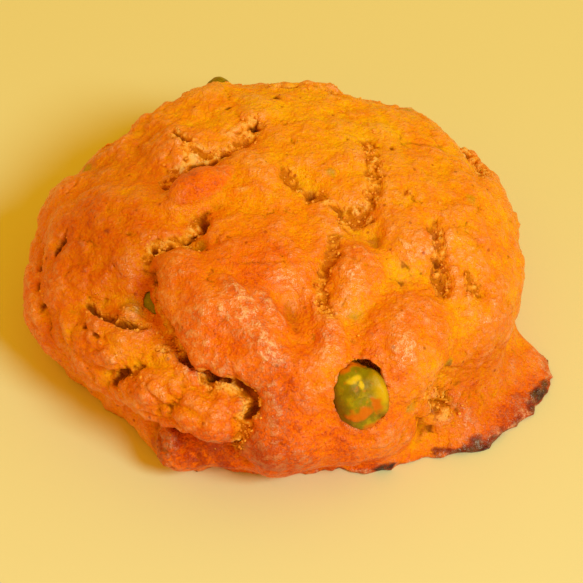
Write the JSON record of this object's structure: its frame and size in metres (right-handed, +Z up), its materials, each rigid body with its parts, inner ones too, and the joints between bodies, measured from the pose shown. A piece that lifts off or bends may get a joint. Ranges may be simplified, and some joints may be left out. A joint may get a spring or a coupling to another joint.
{
  "type": "pistachio cookie",
  "caption": "Thick craggy drop cookie, cracked and folded over itself, with a thin run-out foot and pistachio kernels set in its crust.",
  "frame": {"origin": "on the flat underside, below the crown of the dome", "axes": "+Z up from the resting face; -Y towards the front, where the large kernel lies; +X towards the side of the run-out foot"},
  "size_m": [0.0885, 0.085, 0.0316],
  "materials": {
    "crust": "dry baked crust with a faint sheen, browned on the lobes, crumbly and paler in the cracks, near black at the burnt edge",
    "kernel": "smooth slightly oily pistachio kernel, green with olive and yellow patches"
  },
  "bodies": {
    "root": {"dough": "crust", "kernel_front": "kernel", "kernel_back": "kernel", "kernel_fold": "kernel"}
  },
  "joints": []
}
